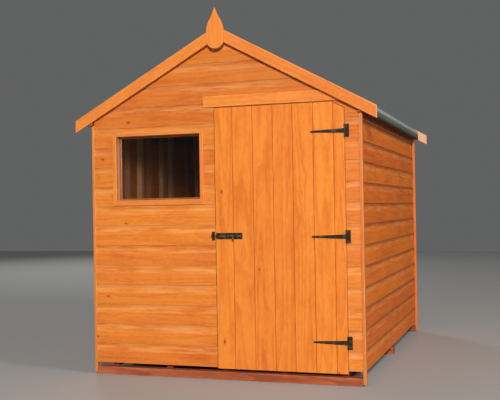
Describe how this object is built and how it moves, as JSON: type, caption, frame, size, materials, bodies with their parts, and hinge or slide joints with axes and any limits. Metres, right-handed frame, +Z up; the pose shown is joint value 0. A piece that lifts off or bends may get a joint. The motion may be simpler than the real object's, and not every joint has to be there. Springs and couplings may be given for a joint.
{
  "type": "garden shed",
  "caption": "Wooden apex garden shed with lapped board walls, a fixed window, a ledged door on tee hinges with a sliding bolt, and a felted roof with bargeboards and a finial.",
  "frame": {"origin": "on the ground, at the middle of the shed's outline in plan", "axes": "+X to the right seen from the front, +Y from the front to the back, +Z up"},
  "size_m": [2.026, 2.474, 2.3568],
  "materials": {
    "stained_cladding": "satin orange stain over lapped boards",
    "stained_trim": "satin orange stain on planed strips",
    "frame_timber": "sawn, unstained",
    "floor_timber": "planed, unstained boards",
    "bearer_timber": "sawn, red-brown preservative",
    "roof_timber": "sawn, unstained",
    "roof_felt": "grey-green mineral roofing felt",
    "window_glass": "clear horticultural glass",
    "black_iron": "black japanned steel"
  },
  "bodies": {
    "shed": {"bearers": "bearer_timber", "floor_joists": "bearer_timber", "floor": "floor_timber", "front_cladding_left": "stained_cladding", "front_cladding_right": "stained_cladding", "front_gable_cladding": "stained_cladding", "rear_cladding": "stained_cladding", "right_cladding": "stained_cladding", "left_cladding": "stained_cladding", "front_right_corner_strip": "stained_trim", "front_left_corner_strip": "stained_trim", "rear_right_corner_strip": "stained_trim", "rear_left_corner_strip": "stained_trim", "front_studs": "frame_timber", "front_rails": "frame_timber", "front_rafters": "frame_timber", "door_stops": "frame_timber", "right_studs": "frame_timber", "right_rails": "frame_timber", "left_studs": "frame_timber", "left_rails": "frame_timber", "rear_studs": "frame_timber", "rear_bottom_rail": "frame_timber", "rear_rafters": "frame_timber", "ridge_batten": "frame_timber", "purlins": "frame_timber", "right_roof_boards": "roof_timber", "left_roof_boards": "roof_timber", "right_eaves_batten": "roof_timber", "left_eaves_batten": "roof_timber", "right_felt": "roof_felt", "left_felt": "roof_felt", "felt_ridge_cap": "roof_felt", "front_right_bargeboard": "stained_trim", "front_left_bargeboard": "stained_trim", "rear_right_bargeboard": "stained_trim", "rear_left_bargeboard": "stained_trim", "finial": "stained_trim", "window_trim": "stained_trim", "window_glass": "window_glass", "window_beads": "frame_timber", "door_head_strip": "stained_trim", "hinge_plates": "black_iron", "bolt_keep": "black_iron"},
    "door": {"door_leaf": "stained_cladding", "door_ledges": "frame_timber", "door_braces": "frame_timber", "hinge_straps": "black_iron", "bolt_plate": "black_iron"},
    "bolt": {"bolt_rod": "black_iron"}
  },
  "joints": [
    {"name": "door_hinge", "type": "hinge", "parent": "shed", "child": "door", "pos_m": [0.809, -1.18, 0.904], "axis": [0, 0, 1], "range_deg": [0, 105]},
    {"name": "bolt_slide", "type": "slide", "parent": "door", "child": "bolt", "axis": [-1, 0, 0], "range_m": [0, 0.024]}
  ]
}
